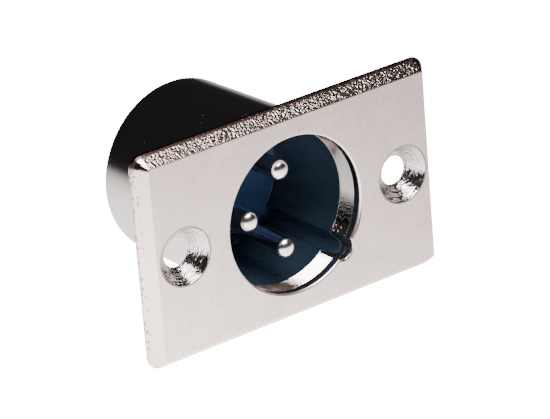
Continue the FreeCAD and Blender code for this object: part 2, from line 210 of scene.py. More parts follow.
def smoothShade(piece, sharpAngle=30):
    mesh = piece.data
    mesh.shade_smooth()
    mesh.set_sharp_from_angle(angle=math.radians(sharpAngle))
    weigh = piece.modifiers.new("weigh", "WEIGHTED_NORMAL")
    weigh.keep_sharp = True
    weigh.weight = 100
    settle(piece)


def dress(piece, material, slot, *nodes):
    piece.data.materials.clear()
    piece.data.materials.append(material)
    for polygon in piece.data.polygons:
        polygon.material_index = 0
    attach(piece, "root")
    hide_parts(*nodes)


# Helpers for node trees

def addNode(tree, kind, **settings):
    node = tree.nodes.new(kind)
    for name, value in settings.items():
        if hasattr(node, name):
            setattr(node, name, value)
        else:
            node.inputs[name].default_value = value
    return node


def feed(tree, value, socket):
    if isinstance(value, bpy.types.NodeSocket):
        tree.links.new(value, socket)
    else:
        socket.default_value = value


def calc(tree, operation, *values):
    node = addNode(tree, "ShaderNodeMath", operation=operation)
    for value, socket in zip(values, node.inputs):
        feed(tree, value, socket)
    return node.outputs[0]


def times(tree, *values):
    product = values[0]
    for value in values[1:]:
        product = calc(tree, "MULTIPLY", product, value)
    return product


def reachOf(tree, across, upward):
    # how far a place lies from the middle
    squares = calc(tree, "ADD", times(tree, across, across), times(tree, upward, upward))
    return calc(tree, "SQRT", squares)


def spread(tree, value, low, high, lowOut=0.0, highOut=1.0):
    # a soft step from one value to another
    node = addNode(tree, "ShaderNodeMapRange", interpolation_type="SMOOTHSTEP")
    feed(tree, value, node.inputs["Value"])
    node.inputs["From Min"].default_value = low
    node.inputs["From Max"].default_value = high
    node.inputs["To Min"].default_value = lowOut
    node.inputs["To Max"].default_value = highOut
    return node.outputs[0]


def between(tree, value, low, high, soft):
    rise = spread(tree, value, low - soft, low + soft)
    fall = spread(tree, value, high - soft, high + soft, 1, 0)
    return times(tree, rise, fall)


def blend(tree, factor, first, second):
    node = addNode(tree, "ShaderNodeMix", data_type="RGBA")
    feed(tree, factor, node.inputs[0])
    feed(tree, first, node.inputs[6])
    feed(tree, second, node.inputs[7])
    return node.outputs[2]


def emptyMaterial(name):
    material = bpy.data.materials.new(name)
    material.use_nodes = True
    material.node_tree.nodes.clear()
    return material


def noise(tree, place, scale, detail, roughness):
    node = addNode(tree, "ShaderNodeTexNoise", Detail=detail, Roughness=roughness)
    feed(tree, place, node.inputs["Vector"])
    feed(tree, scale, node.inputs["Scale"])
    return node.outputs["Fac"]


def stretched(tree, place, factors):
    node = addNode(tree, "ShaderNodeMapping", Scale=factors)
    feed(tree, place, node.inputs["Vector"])
    return node.outputs[0]


def newGroup(name, numbers, results):
    # an effect that takes the place and some numbers, and gives numbers back
    group = bpy.data.node_groups.new(name, "ShaderNodeTree")
    group.interface.new_socket("Place", in_out="INPUT", socket_type="NodeSocketVector")
    for label, value in numbers.items():
        socket = group.interface.new_socket(label, in_out="INPUT", socket_type="NodeSocketFloat")
        socket.default_value = value
    for label in results:
        group.interface.new_socket(label, in_out="OUTPUT", socket_type="NodeSocketFloat")
    return group, addNode(group, "NodeGroupInput").outputs, addNode(group, "NodeGroupOutput").inputs


def useGroup(tree, group, **values):
    node = tree.nodes.new("ShaderNodeGroup")
    node.node_tree = group
    for name, value in values.items():
        feed(tree, value, node.inputs[name])
    return node


def splitPlace(tree, place):
    parts = addNode(tree, "ShaderNodeSeparateXYZ")
    tree.links.new(place, parts.inputs[0])
    return parts.outputs


def objectPlace(tree):
    # the place on the piece, in mm
    where = addNode(tree, "ShaderNodeTexCoord")
    scale = addNode(tree, "ShaderNodeVectorMath", operation="SCALE")
    scale.inputs["Scale"].default_value = 1 / mm
    tree.links.new(where.outputs["Object"], scale.inputs[0])
    return scale.outputs[0]


def finishMaterial(tree, tint, level, height, strength, depth, **settings):
    # the bump, the shader and the output that every finish ends with
    bump = addNode(tree, "ShaderNodeBump", Strength=strength, Distance=depth)
    feed(tree, height, bump.inputs["Height"])
    shader = addNode(tree, "ShaderNodeBsdfPrincipled", **settings)
    feed(tree, tint, shader.inputs["Base Color"])
    feed(tree, level, shader.inputs["Roughness"])
    tree.links.new(bump.outputs[0], shader.inputs["Normal"])
    output = addNode(tree, "ShaderNodeOutputMaterial")
    tree.links.new(shader.outputs[0], output.inputs["Surface"])


def showMix(tree, share, first, second, kind):
    # two shaders, mixed, as what the tree shows
    choose = addNode(tree, "ShaderNodeMixShader")
    for value, socket in zip((share, first.outputs[0], second.outputs[0]), choose.inputs):
        feed(tree, value, socket)
    output = addNode(tree, kind)
    tree.links.new(choose.outputs[0], output.inputs["Surface"])


# Studio: a pale floor and one large soft box overhead

studio = {
    "floorHeight": -12.72,       # mm, and all the lengths below are in m
    "floorSize": 1.5, "floorColour": (0.35, 0.35, 0.35, 1), "floorRough": 0.9,
    "glowFar": 0.1, "glowNear": 5.2, "glowReach": 0.05, "glowMiddle": (-0.04, -0.015),
    "behindFrom": 0.03, "behindTo": 0.08, "behindShare": 0.3,
    "paperWhite": 20.0, "paperShare": 0.85,
    "boxDirection": (0.02, -0.38, 0.92), "boxDistance": 0.34, "boxSize": 0.27, "boxRadiance": 18.0,
    "roomDark": 0.018, "roomBlue": 1.05,
}


def makeFloor(setup):
    size = setup["floorSize"]
    height = setup["floorHeight"] * mm
    mesh = bpy.data.meshes.new("studioFloor")
    corners = [(-size, -size, height), (size, -size, height), (size, size, height), (-size, size, height)]
    mesh.from_pydata(corners, [], [(0, 1, 2, 3)])
    floor = bpy.data.objects.new("studioFloor", mesh)
    bpy.context.collection.objects.link(floor)
    material = emptyMaterial("paleFloor")
    tree = material.node_tree
    shader = addNode(tree, "ShaderNodeBsdfPrincipled", Roughness=setup["floorRough"])
    shader.inputs["Base Color"].default_value = setup["floorColour"]
    shader.inputs["Emission Color"].default_value = (1, 1, 1, 1)
    # the glow is strongest at the part's front left and weaker still behind the part
    where = addNode(tree, "ShaderNodeTexCoord").outputs["Object"]
    middle = addNode(tree, "ShaderNodeVectorMath", operation="DISTANCE")
    middle.inputs[1].default_value = (*setup["glowMiddle"], height)
    tree.links.new(where, middle.inputs[0])
    away = calc(tree, "DIVIDE", middle.outputs["Value"], setup["glowReach"])
    fall = calc(tree, "ADD", times(tree, away, away), 1.0)
    x, y, _ = splitPlace(tree, where)
    behind = spread(tree, calc(tree, "ADD", x, y), setup["behindFrom"], setup["behindTo"],
                    1, setup["behindShare"])
    near = times(tree, calc(tree, "DIVIDE", setup["glowNear"], fall), behind)
    glow = calc(tree, "ADD", near, setup["glowFar"])
    tree.links.new(glow, shader.inputs["Emission Strength"])
    # the camera sees it almost as white paper
    paper = addNode(tree, "ShaderNodeEmission", Strength=setup["paperWhite"])
    path = addNode(tree, "ShaderNodeLightPath")
    seen = times(tree, path.outputs["Is Camera Ray"], setup["paperShare"])
    showMix(tree, seen, shader, paper, "ShaderNodeOutputMaterial")
    mesh.materials.append(material)
    return floor


def makeLights(setup):
    data = bpy.data.lights.new("softBox", "AREA")
    data.shape = "DISK"
    data.size = setup["boxSize"]
    data.energy = setup["boxRadiance"] * math.pi * math.pi * (setup["boxSize"] / 2) ** 2
    light = bpy.data.objects.new("softBox", data)
    direction = Vector(setup["boxDirection"]).normalized()
    light.location = direction * setup["boxDistance"]
    light.rotation_euler = (-direction).to_track_quat("-Z", "Y").to_euler()
    bpy.context.collection.objects.link(light)
    world = bpy.data.worlds.new("studioRoom")
    bpy.context.scene.world = world
    world.use_nodes = True
    tree = world.node_tree
    tree.nodes.clear()
    dark = setup["roomDark"]
    path = addNode(tree, "ShaderNodeLightPath")
    room = addNode(tree, "ShaderNodeBackground")
    room.inputs["Color"].default_value = (dark, dark, dark * setup["roomBlue"], 1)
    paper = addNode(tree, "ShaderNodeBackground")
    paper.inputs["Color"].default_value = (1, 1, 1, 1)
    paper.inputs["Strength"].default_value = setup["paperWhite"]
    showMix(tree, path.outputs["Is Camera Ray"], room, paper, "ShaderNodeOutputWorld")
    print("studio lit")


makeFloor(studio)
makeLights(studio)


# Effects that several finishes share

def makeCastSkin():
    # the pebbly skin of a die casting: fine pimples and a few deeper pits
    pitScale = 0.8               # of the grain's own scale
    pitFrom, pitTo = 0.42, 0.7
    pitDepth = 0.35              # of a pimple's height
    group, given, result = newGroup("castSkin", {"Grain": 5.0}, ("Height", "Pits"))
    pimples = noise(group, given["Place"], given["Grain"], 1.0, 0.5)
    cells = addNode(group, "ShaderNodeTexVoronoi", feature="SMOOTH_F1")
    feed(group, given["Place"], cells.inputs["Vector"])
    feed(group, times(group, given["Grain"], pitScale), cells.inputs["Scale"])
    pits = spread(group, cells.outputs["Distance"], pitFrom, pitTo)
    feed(group, calc(group, "SUBTRACT", pimples, times(group, pits, pitDepth)), result["Height"])
    feed(group, pits, result["Pits"])
    return group


def makeSatinGrain():
    # the fine grain of a brushed and plated face, with faint cloudy tone
    grainStretch = (1.0, 1.0, 0.12)
    cloudFrom, cloudTo = 0.3, 0.7
    cloudScale = 0.35
    group, given, result = newGroup("satinGrain", {"Fineness": 9.0}, ("Height", "Tone"))
    lines = noise(group, stretched(group, given["Place"], grainStretch), given["Fineness"], 2.0, 0.6)
    cloud = noise(group, given["Place"], cloudScale, 4.0, 0.55)
    feed(group, lines, result["Height"])
    feed(group, spread(group, cloud, cloudFrom, cloudTo), result["Tone"])
    return group


def makeStraySpecks():
    # single small bright or dark specks, as dust or plating flaws leave
    leaveOut = 0.6               # the share of the cells that stay plain
    group, given, result = newGroup("straySpecks", {"Scale": 2.0, "Size": 0.1}, ("Mask",))
    cells = addNode(group, "ShaderNodeTexVoronoi", feature="F1")
    feed(group, given["Place"], cells.inputs["Vector"])
    feed(group, given["Scale"], cells.inputs["Scale"])
    split = addNode(group, "ShaderNodeSeparateColor")
    group.links.new(cells.outputs["Color"], split.inputs[0])
    chosen = calc(group, "GREATER_THAN", split.outputs[0], leaveOut)
    near = calc(group, "LESS_THAN", cells.outputs["Distance"], given["Size"])
    feed(group, times(group, chosen, near), result["Mask"])
    return group


castSkin = makeCastSkin()
satinGrain = makeSatinGrain()
straySpecks = makeStraySpecks()


# Shell: one plated casting, a bevelled plate with a tapered barrel behind it

shellSizes = {                  # mm and degrees
    "halfWidth": 20.6, "halfHeight": 12.7, "cornerRadius": 1.5, "frontCorner": 0.23,
    "plate": 2.0, "land": 0.4, "bevelInset": 1.27, "edgeRound": 0.05, "rearRound": 0.03, "rearRing": 0.6,
    "mouth": 9.2, "rimRound": 0.3, "rimRows": (0.3, 0.26, 0.22, 0.2),
    "mouthRows": (0.15, 0.1, 0.06, 0.03, 0.01, 0.0), "wallRows": (-1.47, -1.17, -0.87, -0.3, 0.4, 1.1, 1.5),
    "bead": ((-0.03, 1.53), (-0.06, 1.6), (-0.03, 1.67), (0.06, 1.7)), "seatStep": 0.06,
    "seat": 9.45, "seatRows": (1.7, 5.0, 10.0, 15.0),
    "keyAngle": -44.5, "keyPitch": 8.8, "keyRadius": 1.35,
    "stepAngle": -23.5, "stepPitch": 5.12, "stepRadius": 4.5, "stepStart": 9.4,
    "barrelRoot": 10.8, "barrelEnd": 10.379, "barrelLength": 20.2, "leastWall": 0.02,
    "endChamfer": 0.2, "endLip": 0.1, "endRounds": (0.04, 0.08), "rootFillet": 0.4, "rootRound": 0.35,
    "screwX": 15.5, "sinkRadius": 3.425, "screwHole": 1.7, "sinkFloor": -0.275, "sinkRound": 0.06,
    "sinkStep": ((0.11, -0.13, 0.03), (0.09, 0.05, 0.03), (0.0, 0.07, 0.02)),
    "holeRound": 0.05, "holeRing": 0.2,
    "lockHole": 1.29, "lockY": 16.2, "lockSpan": (-12.0, -8.9),
    "angles": (0.75, 0.25, -60, -9),          # coarse and fine steps, and where the fine ones lie
}


def plateRing(sizes, inset, along, cornerSteps=6):
    # a rounded rectangle, anticlockwise from the right when seen from the front
    part = min(max(inset / sizes["bevelInset"], 0), 1)
    corner = sizes["cornerRadius"] + (sizes["frontCorner"] - sizes["cornerRadius"]) * part
    width = sizes["halfWidth"] - inset - corner
    height = sizes["halfHeight"] - inset - corner
    ring = []
    for index, (side, rise) in enumerate(((1, 1), (-1, 1), (-1, -1), (1, -1))):
        for step in range(cornerSteps + 1):
            turn = math.radians(index * 90 + 90 * step / cornerSteps)
            ring.append((side * width + corner * math.cos(turn), along,
                         rise * height + corner * math.sin(turn)))
    return ring


def mouthColumn(sizes, degrees):
    # radius and depth from the plate's front edge, through the mouth, to the barrel's rear edge
    mouth = sizes["mouth"]
    rim = sizes["rimRound"]
    back = sizes["plate"] - rim
    key = offsetFrom(degrees, sizes["keyAngle"])
    step = circleReach(sizes["stepPitch"], sizes["stepRadius"], offsetFrom(degrees, sizes["stepAngle"]))
    inStep = step > sizes["stepStart"]
    column = []

    def rimPoint(out, extra=0.0):
        shown = min(max(out, extra), rim)
        along = -back - rim * math.sin(math.acos(1 - shown / rim))
        reach = circleReach(sizes["keyPitch"], sizes["keyRadius"] + out, key)
        column.append((max(mouth + max(out, extra), reach), along))

    groove = step - mouth if inStep else 0.0
    for out in sizes["rimRows"]:
        rimPoint(out, groove)
    if inStep:
        column.append((step, -back))
        column.append((sizes["stepStart"], -back))
    else:
        column += [column[-1], column[-1]]        # every column keeps the same count of points
    for out in (sizes["stepStart"] - mouth, *sizes["mouthRows"]):
        rimPoint(out)
    wall = max(mouth, circleReach(sizes["keyPitch"], sizes["keyRadius"], key))
    seat = max(sizes["seat"], wall + sizes["seatStep"])
    column += [(wall, along) for along in sizes["wallRows"]]
    column += [(wall + out, along) for out, along in sizes["bead"]]
    column += [(seat, along) for along in (*sizes["seatRows"], sizes["barrelLength"])]
    end = sizes["barrelEnd"]
    chamfer = sizes["endChamfer"]
    length = sizes["barrelLength"]
    root = sizes["barrelRoot"]
    fillet = sizes["rootFillet"]
    inner, outer = sizes["endRounds"]
    outside = softLine([(end - chamfer - sizes["endLip"], length, 0), (end - chamfer, length, inner),
                        (end, length - chamfer, outer), (root, fillet, sizes["rootRound"]),
                        (root + fillet, 0, 0)])
    column += [(max(radius, seat + sizes["leastWall"]), along) for radius, along in outside]
    return column


def buildShell(sizes):
    bm = bmesh.new()
    angles = roundAngles(*sizes["angles"])
    rings = columnRings([mouthColumn(sizes, angle) for angle in angles], angles)
    addStrips(bm, rings)
    soft = sizes["edgeRound"]
    plate = sizes["plate"]
    rear = sizes["rearRound"]
    side = softLine([(sizes["rearRing"], 0, 0), (0, 0, rear), (0, -sizes["land"], rear),
                     (sizes["bevelInset"], -plate, soft), (sizes["bevelInset"] + soft, -plate, 0)])
    sideRings = [plateRing(sizes, inset, along) for inset, along in side]
    addStrips(bm, sideRings)
    hole = sizes["screwHole"]
    foot = [(hole + out, sizes["sinkFloor"] + along, size) for out, along, size in sizes["sinkStep"]]
    sink = softLine([(sizes["sinkRadius"] + sizes["sinkRound"], -plate, 0),
                     (sizes["sinkRadius"], -plate, sizes["sinkRound"]), *foot,
                     (hole, 0, sizes["holeRound"]), (hole + sizes["holeRing"], 0, 0)])
    sinks = []
    for x in (-sizes["screwX"], sizes["screwX"]):
        sinkRings = turnedRings(sink, evenAngles(72), (x, 0))
        addStrips(bm, sinkRings)
        sinks.append(sinkRings)
    fillBetween(bm, [sideRings[-1], rings[0], sinks[0][0], sinks[1][0]], (0, -1, 0))
    fillBetween(bm, [sideRings[0], rings[-1], sinks[0][-1], sinks[1][-1]], (0, 1, 0))
    shell = finishMesh(bm, "shellCasting")
    lockRings = [uprightRing(sizes["lockHole"], sizes["lockY"], height) for height in sizes["lockSpan"]]
    cutAway(shell, makeCutter(lockRings, "lockHoleCutter"))
    smoothShade(shell)
    print("shell cast:", len(shell.data.polygons), "faces")
    return shell


# Satin nickel: smooth on the worked faces, pebbly where the casting's skin is left

nickelLook = {
    "faceTint": (0.62, 0.495, 0.46, 1), "faceTintCloud": (0.55, 0.44, 0.415, 1),
    "castTint": (0.68, 0.56, 0.51, 1), "bevelTint": (0.69, 0.54, 0.47, 1),
    # the pit tint darkens the casting's own pits and worn nicks, and also paints shade lines along edges
    # the rim tint is a painted highlight round the mouth's rim
    "paintedRimHighlightTint": (0.9, 0.82, 0.79, 1), "pitAndPaintedShadeTint": (0.16, 0.12, 0.12, 1),
    # the dull and dim tints are painted shade on part of the mouth's band
    "paintedBandShadeTint": (0.175, 0.165, 0.16, 1), "paintedDeepShadeTint": (0.05, 0.048, 0.046, 1),
    # the land tint is painted shade on the plate's top land
    "sinkTint": (0.53, 0.485, 0.47, 1), "paintedTopShadeTint": (0.055, 0.026, 0.026, 1),
    "barrelTint": (0.52, 0.465, 0.45, 1), "streakTint": (0.42, 0.35, 0.335, 1),
    "speckTint": (0.34, 0.29, 0.29, 1),
    # the line and dim shares set how strongly painted shade is laid on
    "streakShare": 0.4, "paintedDeepShadeShare": 0.55, "bevelShare": 0.8, "pitShare": 0.8, "edgeShadeShare": 0.85,
    "wornShare": 0.8, "speckShare": 0.5,
    "faceRough": 0.30, "grainRough": 0.08, "bevelRough": 0.26, "upperRough": 0.14, "barrelRough": 0.15,
    "bandRough": 0.14, "lipRough": 0.2, "sinkRough": 0.15, "keyRough": 0.18, "crumbRough": 0.4,
    "dustRough": 0.3,
    "upperHeight": (0.031, 0.046), "bevelHeight": 0.008, "keyHeight": 0.06, "bandHeight": 0.008,   # mm
    "bandSparkle": 0.046, "underSparkle": 0.026, "turnedHeight": 0.16, "grainHeight": 0.004,
    "bandSlope": 0.8,
    "coarseGrain": 4.4, "fineGrain": 5.8, "fineness": 7.0,
    "streakStretch": (2.2, 1.0, 0.8), "streakRange": (0.42, 0.72), "turnedAcross": 4.5, "turnedRound": 2.2,
    "specks": {"Scale": 0.9, "Size": 0.11}, "nicks": {"Scale": 2.0, "Size": 0.42},
    "crumbs": {"Scale": 3.0, "Size": 0.31}, "dust": {"Scale": 0.9, "Size": 0.07},
}

nickelZones = {                 # mm: from where to where a mask changes, or a span and how soft its ends are
    "mouthReach": (10.25, 10.35), "besideMouth": (11.0, 11.2), "faceY": (-1.985, -1.97),
    "edgeX": (19.2, 19.28), "edgeZ": (11.36, 11.42), "bevelY": (-1.94, -0.4, 0.03),
    # the front line's span places a painted shade line along the plate's top front edge
    "upperZ": (11.2, 11.6), "upperY": (-0.7, -0.64), "paintedEdgeShadeY": (-1.99, -1.86, 0.02),
    # the land's spans place painted shade on the plate's top land
    "landZ": (11.9, 12.3), "landY": (-0.66, 0.1, 0.04),
    "keyCentre": (6.277, -6.168), "keyReach": (1.42, 1.5), "keyY": (-1.97, -1.9),
    "bandY": (-0.93, -0.82), "lipY": (-1.62, -0.87, 0.04), "slopeY": -0.87,
    # the rim line's spans place a painted highlight round the mouth's rim
    "paintedRimHighlight": (9.25, 9.36, 0.03), "paintedRimHighlightY": (-1.78, -1.72),
    "screwX": 15.5, "sinkReach": (3.42, 3.5), "sinkY": (-1.97, -0.05, 0.02),
    # the sink line's spans place a painted shade line round each countersink's edge
    "paintedSinkShade": (3.37, 3.52, 0.03), "paintedSinkShadeY": (-1.85, -1.8),
    "rearY": (-0.05, -0.01), "barrelY": (0.15, 0.3),
    # the dull and dim spans place painted shade on part of the mouth's band
    "paintedBandShadeX": (4.0, 5.5), "paintedBandShadeZ": (-5.2, -3.9), "paintedDeepShadeZ": (-4.6, -0.9, 0.5),
    "outerX": (20.1, 20.3), "outerZ": (12.2, 12.4), "outerY": (-0.1, 0.0),
    "nearKey": (2.3, 2.8), "besideKey": (3.0, 6.5), "besideX": (6.0, 7.2), "underZ": (-8.9, -8.5),
    "coarseX": (-19.0, 7.0),
}


def nickelMasks(tree, place, zones):
    # where each zone of the casting lies
    x, y, z = splitPlace(tree, place)

    def rise(value, name):
        return spread(tree, value, *zones[name])

    def fall(value, name):
        return spread(tree, value, *zones[name], 1, 0)

    def within(value, name):
        return between(tree, value, *zones[name])

    sideways = calc(tree, "ABSOLUTE", x)
    upDown = calc(tree, "ABSOLUTE", z)
    radius = reachOf(tree, x, z)
    keyX, keyZ = zones["keyCentre"]
    fromKey = reachOf(tree, calc(tree, "SUBTRACT", x, keyX), calc(tree, "SUBTRACT", z, keyZ))
    fromScrew = calc(tree, "SUBTRACT", sideways, zones["screwX"])
    fromSink = reachOf(tree, fromScrew, z)
    mouth = fall(radius, "mouthReach")
    onEdge = calc(tree, "MAXIMUM", rise(sideways, "edgeX"), rise(upDown, "edgeZ"))
    onRim = calc(tree, "MAXIMUM", rise(sideways, "outerX"), rise(upDown, "outerZ"))
    bevel = times(tree, onEdge, within(y, "bevelY"), rise(radius, "besideMouth"))
    key = times(tree, fall(fromKey, "keyReach"), rise(y, "keyY"))
    offKey = calc(tree, "SUBTRACT", 1.0, key)
    band = calc(tree, "MAXIMUM", times(tree, mouth, rise(y, "bandY")), key)
    # painted shade: the right-hand part of the mouth's band is darkened
    paintedBandShade = times(tree, band, rise(x, "paintedBandShadeX"), rise(z, "paintedBandShadeZ"))
    aroundKey = calc(tree, "SUBTRACT", fall(fromKey, "nearKey"), key)
    return {
        "x": x, "y": y, "fromSink": fromSink, "aroundSink": calc(tree, "ARCTAN2", z, fromScrew),
        "face": fall(y, "faceY"), "rear": rise(y, "rearY"), "barrel": rise(y, "barrelY"),
        "bevel": bevel, "upperBevel": times(tree, bevel, rise(z, "upperZ"), fall(y, "upperY")),
        # painted shade line along the plate's top front edge
        "paintedEdgeShade": times(tree, onEdge, rise(z, "upperZ"), within(y, "paintedEdgeShadeY")),
        # painted shade on the plate's top land
        "paintedTopShade": times(tree, onEdge, rise(z, "landZ"), within(y, "landY")),
        "outer": times(tree, onRim, fall(y, "outerY")),
        "key": key, "band": band, "offKey": times(tree, mouth, offKey),
        "lip": times(tree, mouth, within(y, "lipY"), offKey),
        # painted highlight round the mouth's rim
        "paintedRimHighlight": times(tree, within(radius, "paintedRimHighlight"), fall(y, "paintedRimHighlightY")),
        # painted shade on part of the band, darker still in a narrower span
        "paintedBandShade": paintedBandShade, "paintedDeepShade": times(tree, paintedBandShade, within(z, "paintedDeepShadeZ")),
        "crumbly": times(tree, band, aroundKey),
        "beside": times(tree, band, fall(fromKey, "besideKey"), rise(x, "besideX")),
        "under": times(tree, band, fall(z, "underZ")),
        "sink": times(tree, fall(fromSink, "sinkReach"), within(y, "sinkY")),
        # painted shade line round each countersink's edge
        "paintedSinkShade": times(tree, within(fromSink, "paintedSinkShade"), fall(y, "paintedSinkShadeY")),
    }


def nickelTint(tree, place, look, zone, grain, skin):
    streaks = noise(tree, stretched(tree, place, look["streakStretch"]), 1.0, 3.0, 0.6)
    darker = spread(tree, streaks, *look["streakRange"])
    pitted = calc(tree, "MAXIMUM", zone["upperBevel"], zone["key"])
    pits = times(tree, skin.outputs["Pits"], pitted)
    nicks = useGroup(tree, straySpecks, Place=place, **look["nicks"]).outputs["Mask"]
    specks = useGroup(tree, straySpecks, Place=place, **look["specks"]).outputs["Mask"]
    tint = blend(tree, grain.outputs["Tone"], look["faceTint"], look["faceTintCloud"])
    layers = (
        (times(tree, darker, look["streakShare"]), "streakTint"),
        (zone["rear"], "barrelTint"),
        (zone["band"], "castTint"),
        # the next two layers paint shade on part of the mouth's band
        (zone["paintedBandShade"], "paintedBandShadeTint"),
        (times(tree, zone["paintedDeepShade"], look["paintedDeepShadeShare"]), "paintedDeepShadeTint"),
        (zone["sink"], "sinkTint"),
        # a painted highlight round the mouth's rim
        (zone["paintedRimHighlight"], "paintedRimHighlightTint"),
        (times(tree, zone["bevel"], look["bevelShare"]), "bevelTint"),
        (times(tree, pits, look["pitShare"]), "pitAndPaintedShadeTint"),
        # a painted shade line along the plate's top front edge
        (times(tree, zone["paintedEdgeShade"], look["edgeShadeShare"]), "pitAndPaintedShadeTint"),
        # painted shade on the plate's top land
        (zone["paintedTopShade"], "paintedTopShadeTint"),
        # a painted shade line round each countersink's edge
        (times(tree, zone["paintedSinkShade"], look["edgeShadeShare"]), "pitAndPaintedShadeTint"),
        (times(tree, zone["outer"], nicks, look["wornShare"]), "pitAndPaintedShadeTint"),
        (times(tree, specks, zone["face"], look["speckShare"]), "speckTint"),
    )
    for mask, name in layers:
        tint = blend(tree, mask, tint, look[name])
    return tint


def nickelRoughness(tree, place, look, zone, grain):
    uneven = times(tree, calc(tree, "SUBTRACT", grain.outputs["Height"], 0.5), look["grainRough"])
    level = calc(tree, "ADD", look["faceRough"], uneven)
    for name, value in (("bevel", "bevelRough"), ("upperBevel", "upperRough"), ("barrel", "barrelRough"),
                        ("band", "bandRough"), ("lip", "lipRough"), ("sink", "sinkRough"),
                        ("key", "keyRough")):
        step = times(tree, zone[name], calc(tree, "SUBTRACT", look[value], level))
        level = calc(tree, "ADD", level, step)
    for name, where, value in (("crumbs", "crumbly", "crumbRough"), ("dust", "barrel", "dustRough")):
        spots = useGroup(tree, straySpecks, Place=place, **look[name]).outputs["Mask"]
        level = calc(tree, "ADD", level, times(tree, spots, zone[where], look[value]))
    return level


def nickelHeight(tree, place, look, zones, zone, grain, skin):
    # in mm: the cast skin, the flare of the mouth's band, the marks of turning and the fine grain
    fineSkin = useGroup(tree, castSkin, Place=place, Grain=look["fineGrain"])
    rough = spread(tree, zone["x"], *zones["coarseX"], *look["upperHeight"])
    coarse = times(tree, zone["upperBevel"], rough)
    for name, amount in (("bevel", "bevelHeight"), ("key", "keyHeight"), ("band", "bandHeight")):
        coarse = calc(tree, "MAXIMUM", coarse, times(tree, zone[name], look[amount]))
    gritty = calc(tree, "MAXIMUM", times(tree, zone["beside"], look["bandSparkle"]),
                  times(tree, zone["under"], look["underSparkle"]))
    pebbles = calc(tree, "ADD", times(tree, skin.outputs["Height"], coarse),
                   times(tree, fineSkin.outputs["Height"], gritty))
    inward = calc(tree, "MAXIMUM", calc(tree, "SUBTRACT", zone["y"], zones["slopeY"]), 0.0)
    flare = times(tree, inward, look["bandSlope"], zone["offKey"])
    marks = addNode(tree, "ShaderNodeCombineXYZ")
    feed(tree, times(tree, zone["fromSink"], look["turnedAcross"]), marks.inputs["X"])
    feed(tree, times(tree, zone["aroundSink"], look["turnedRound"]), marks.inputs["Y"])
    feed(tree, calc(tree, "SIGN", zone["x"]), marks.inputs["Z"])
    turned = noise(tree, marks.outputs[0], 1.0, 2.0, 0.6)
    fine = calc(tree, "ADD", times(tree, grain.outputs["Height"], look["grainHeight"]),
                times(tree, turned, zone["sink"], look["turnedHeight"]))
    return calc(tree, "ADD", calc(tree, "ADD", pebbles, flare), fine)


def makeNickel(look, zones):
    material = emptyMaterial("satinNickel")
    tree = material.node_tree
    place = objectPlace(tree)
    zone = nickelMasks(tree, place, zones)
    grain = useGroup(tree, satinGrain, Place=place, Fineness=look["fineness"])
    skin = useGroup(tree, castSkin, Place=place, Grain=look["coarseGrain"])
    tint = nickelTint(tree, place, look, zone, grain, skin)
    level = nickelRoughness(tree, place, look, zone, grain)
    height = nickelHeight(tree, place, look, zones, zone, grain, skin)
    finishMaterial(tree, tint, level, height, 1.0, mm, Metallic=1.0)
    return material


satinNickel = makeNickel(nickelLook, nickelZones)
dress(buildShell(shellSizes), satinNickel, "plated_casting", "shell")


# Insert: the dark moulded cup that carries the contacts

insertSizes = {                 # mm and degrees
    "outer": 9.4, "front": 1.7, "rear": 19.2, "rearChamfer": 0.4,
    "lip": 9.17, "wall": 8.85, "lipBack": 3.4, "floor": 13.2, "floorChamfer": 0.06,
    "keyAngle": -44.5, "keyPitch": 8.8, "ribRadius": 1.3, "channelRadius": 1.1,
    "noseFront": -0.3, "noseFoot": 9.25, "noseTip": 10.0,
    "boreSmall": 1.43, "boreLarge": 1.73, "boreStep": 15.0, "pinPitch": 4.76, "pinAngles": (90, 180, 270),
    "floorRing": 0.12, "floorRound": 0.08, "rearRing": 0.15, "rearRound": 0.1,
    "tagSlot": 1.63, "tagSlotInner": 8.99, "tagSlotOuter": 11, "tagSlotFront": 14.57, "tagSlotSteps": 6,
    "lockHole": 1.29, "lockY": 16.2, "lockSpan": (-12.0, -7.785),
    "wallParts": (0.8, 0.6, 0.4, 0.2), "frontParts": (0.1, 0.25, 0.4, 0.55, 0.7, 0.85, 1.0),
    "outerRows": (5.0, 9.0, 13.0),
    "angles": (1.0, 0.25, -60, -30),          # coarse and fine steps, and where the fine ones lie
}


def insertColumn(sizes, degrees):
    key = offsetFrom(degrees, sizes["keyAngle"])
    rib = circleReach(sizes["keyPitch"], sizes["ribRadius"], key)
    channel = circleReach(sizes["keyPitch"], sizes["channelRadius"], key)
    front = sizes["front"]
    foot = sizes["noseFoot"]
    slope = (front - sizes["noseFront"]) / (sizes["noseTip"] - foot)
    wall = max(sizes["wall"], channel)
    floorWall = max(sizes["wall"] - sizes["floorChamfer"], channel)
    column = [(floorWall, sizes["floor"])]
    column.append((wall, sizes["floor"] - (sizes["floorChamfer"] if channel < wall else 0)))
    hasNose = rib > foot

    def noseDepth(radius):
        if radius <= foot:
            return front
        return max(sizes["noseFront"], front - (radius - foot) * slope)

    start = noseDepth(wall) if hasNose else front
    for part in sizes["wallParts"]:
        column.append((wall, start + (sizes["floor"] - start) * part))
    lip = max(sizes["lip"], wall)
    if channel < sizes["wall"]:
        column.append((wall, sizes["lipBack"]))
        column.append((lip, front))
    else:
        column.append((wall, start))
        column.append((wall, start))
    outer = rib if hasNose else sizes["outer"]
    for part in sizes["frontParts"]:
        radius = lip + (outer - lip) * part
        column.append((radius, noseDepth(radius) if hasNose else front))
    outside = max(sizes["outer"], rib)
    column.append((outer, front))
    column.append((outside, front))
    rear = sizes["rear"]
    for along in (*sizes["outerRows"], rear - sizes["rearChamfer"]):
        column.append((outside, along))
    column.append((outside - sizes["rearChamfer"], rear))
    return column


